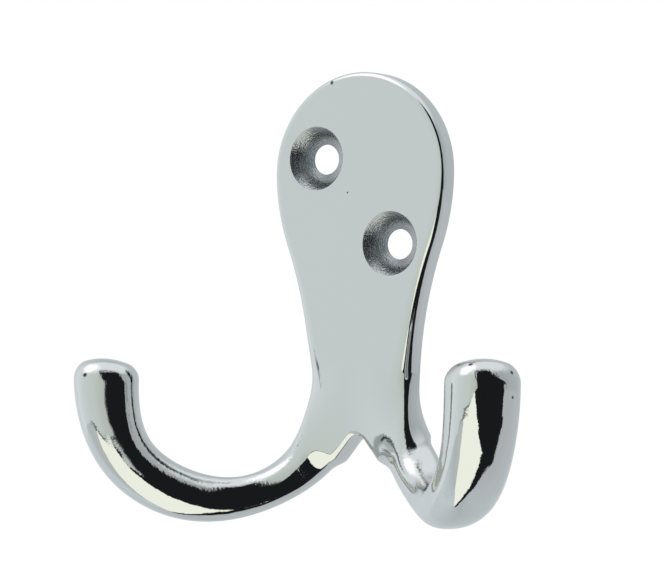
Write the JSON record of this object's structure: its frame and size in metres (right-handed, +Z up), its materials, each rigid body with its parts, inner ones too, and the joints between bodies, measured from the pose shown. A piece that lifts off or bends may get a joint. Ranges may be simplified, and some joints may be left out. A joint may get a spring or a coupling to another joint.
{
  "type": "robe hook",
  "caption": "Chrome die-cast robe hook with a round-headed wall plate, countersunk screw holes and upturned arms on both sides.",
  "frame": {"origin": "on the wall face of the plate, at the centre of its round head", "axes": "+X right as seen from the front, +Y into the wall, +Z up"},
  "size_m": [0.074, 0.0255, 0.0654],
  "materials": {
    "chrome_casting": "bright chrome plate on a zinc die casting"
  },
  "bodies": {
    "root": {"hook_casting": "chrome_casting"}
  },
  "joints": []
}
